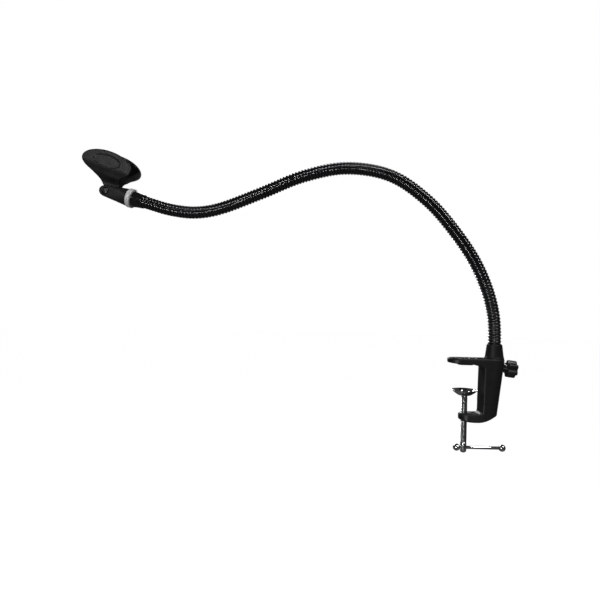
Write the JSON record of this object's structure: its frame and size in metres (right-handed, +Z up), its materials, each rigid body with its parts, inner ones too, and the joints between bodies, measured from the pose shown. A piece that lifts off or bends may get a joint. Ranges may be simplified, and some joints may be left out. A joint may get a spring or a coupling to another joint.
{
  "type": "desktop microphone stand",
  "caption": "Desk-clamp microphone stand with a flexible gooseneck arm, a screw clamp with sliding cross bar, a lobed lock knob and a tilting sprung microphone clip",
  "frame": {"origin": "middle of the underside of the clamp's jaw pad, where the stand sits on the desk top", "axes": "+Z up, -X from the clamp towards the microphone clip, so the desk edge enters the clamp from -X; +Y away from the viewer of the clamp's side"},
  "size_m": [0.555, 0.057, 0.3716],
  "materials": {
    "black_casting": "satin black powder coat",
    "black_rubber": "soft black rubber",
    "black_plastic": "moulded black plastic",
    "black_gloss": "glossy black sleeve",
    "chrome": "bright chrome plate",
    "steel": "zinc-plated steel",
    "brass": "turned brass"
  },
  "bodies": {
    "clamp": {"clamp_frame": "black_casting", "jaw_pad": "black_rubber"},
    "screw_tip": {"screw_ball_stud": "chrome"},
    "spindle": {"clamp_screw": "chrome"},
    "disc": {"pressure_disc": "chrome"},
    "cross_bar": {"tommy_bar": "chrome", "tommy_ball_left": "chrome", "tommy_ball_right": "chrome"},
    "lock_screw": {"lock_stud": "steel"},
    "knob": {"lock_knob": "black_plastic", "lock_insert": "steel"},
    "neck_1": {"mounting_peg": "steel", "base_ferrule": "black_casting", "gooseneck_1": "black_casting"},
    "neck_2": {"gooseneck_2": "black_casting"},
    "neck_3": {"gooseneck_3": "black_casting"},
    "neck_4": {"gooseneck_4": "black_casting"},
    "neck_5": {"gooseneck_5": "black_casting"},
    "neck_6": {"gooseneck_6": "black_casting"},
    "neck_7": {"gooseneck_7": "black_casting"},
    "neck_8": {"gooseneck_8": "black_casting"},
    "neck_9": {"gooseneck_9": "black_casting"},
    "neck_10": {"gooseneck_10": "black_casting"},
    "neck_11": {"gooseneck_11": "black_casting", "top_ferrule": "black_gloss", "thread_fitting": "chrome"},
    "clip_base": {"clip_base": "black_plastic", "thread_insert": "brass", "pivot_screw": "steel", "pivot_washer": "steel", "pivot_nut": "steel"},
    "clip": {"mic_clip": "black_rubber"}
  },
  "joints": [
    {"name": "screw_travel", "type": "slide", "parent": "clamp", "child": "screw_tip", "axis": [0, 0, 1], "range_m": [-0.014, 0.027]},
    {"name": "screw_turn", "type": "hinge", "parent": "screw_tip", "child": "spindle", "pos_m": [0, 0, -0.0365], "axis": [0, 0, 1], "range_deg": [-4032, 7776]},
    {"name": "disc_tilt", "type": "hinge", "parent": "screw_tip", "child": "disc", "pos_m": [0, 0, -0.0365], "axis": [0, 1, 0], "range_deg": [-7, 7]},
    {"name": "bar_slide", "type": "slide", "parent": "spindle", "child": "cross_bar", "axis": [1, 0, 0], "range_m": [-0.0402, 0]},
    {"name": "lock_travel", "type": "slide", "parent": "clamp", "child": "lock_screw", "axis": [0.993, 0, -0.1184], "range_m": [0, 0.003]},
    {"name": "lock_turn", "type": "hinge", "parent": "lock_screw", "child": "knob", "pos_m": [0.0477, 0, -0.003], "axis": [0.993, 0, -0.1184], "range_deg": [0, 1080]},
    {"name": "neck_swivel", "type": "hinge", "parent": "clamp", "child": "neck_1", "pos_m": [0.0362, 0, 0], "axis": [0, 0, 1], "continuous": true},
    {"name": "neck_bend_1", "type": "hinge", "parent": "neck_1", "child": "neck_2", "pos_m": [0.03064, 0, 0.07741], "axis": [0, -1, 0], "range_deg": [-15, 15]},
    {"name": "neck_bend_2", "type": "hinge", "parent": "neck_2", "child": "neck_3", "pos_m": [0.01138, 0, 0.12513], "axis": [-0.8772, 0, -0.4802], "range_deg": [-15, 15]},
    {"name": "neck_bend_3", "type": "hinge", "parent": "neck_3", "child": "neck_4", "pos_m": [-0.01796, 0, 0.16746], "axis": [0, -1, 0], "range_deg": [-15, 15]},
    {"name": "neck_bend_4", "type": "hinge", "parent": "neck_4", "child": "neck_5", "pos_m": [-0.0532, 0, 0.205], "axis": [-0.6394, 0, -0.7689], "range_deg": [-15, 15]},
    {"name": "neck_bend_5", "type": "hinge", "parent": "neck_5", "child": "neck_6", "pos_m": [-0.0963, 0, 0.23294], "axis": [0, -1, 0], "range_deg": [-15, 15]},
    {"name": "neck_bend_6", "type": "hinge", "parent": "neck_6", "child": "neck_7", "pos_m": [-0.14681, 0, 0.24188], "axis": [-0.0094, 0, -1], "range_deg": [-15, 15]},
    {"name": "neck_bend_7", "type": "hinge", "parent": "neck_7", "child": "neck_8", "pos_m": [-0.19749, 0, 0.23354], "axis": [0, -1, 0], "range_deg": [-15, 15]},
    {"name": "neck_bend_8", "type": "hinge", "parent": "neck_8", "child": "neck_9", "pos_m": [-0.24538, -0.00004, 0.21459], "axis": [0.4193, 0, -0.9079], "range_deg": [-15, 15]},
    {"name": "neck_bend_9", "type": "hinge", "parent": "neck_9", "child": "neck_10", "pos_m": [-0.29283, 0.00007, 0.19439], "axis": [-0.006, -1, -0.0024], "range_deg": [-15, 15]},
    {"name": "neck_bend_10", "type": "hinge", "parent": "neck_10", "child": "neck_11", "pos_m": [-0.34264, 0.00251, 0.1826], "axis": [0.0198, 0, -0.9998], "range_deg": [-15, 15]},
    {"name": "clip_swivel", "type": "hinge", "parent": "neck_11", "child": "clip_base", "pos_m": [-0.4571, 0.0204, 0.2091], "axis": [-0.9439, 0.2006, 0.2622], "continuous": true},
    {"name": "clip_tilt", "type": "hinge", "parent": "clip_base", "child": "clip", "pos_m": [-0.4571, 0.0204, 0.2091], "axis": [0.2079, 0.9781, 0], "range_deg": [-95, 4]}
  ],
  "couplings": [
    {"joint": "screw_travel", "follows": "screw_turn", "m_per_rad": 0.00019894},
    {"joint": "lock_travel", "follows": "lock_turn", "m_per_rad": 0.00015915}
  ]
}
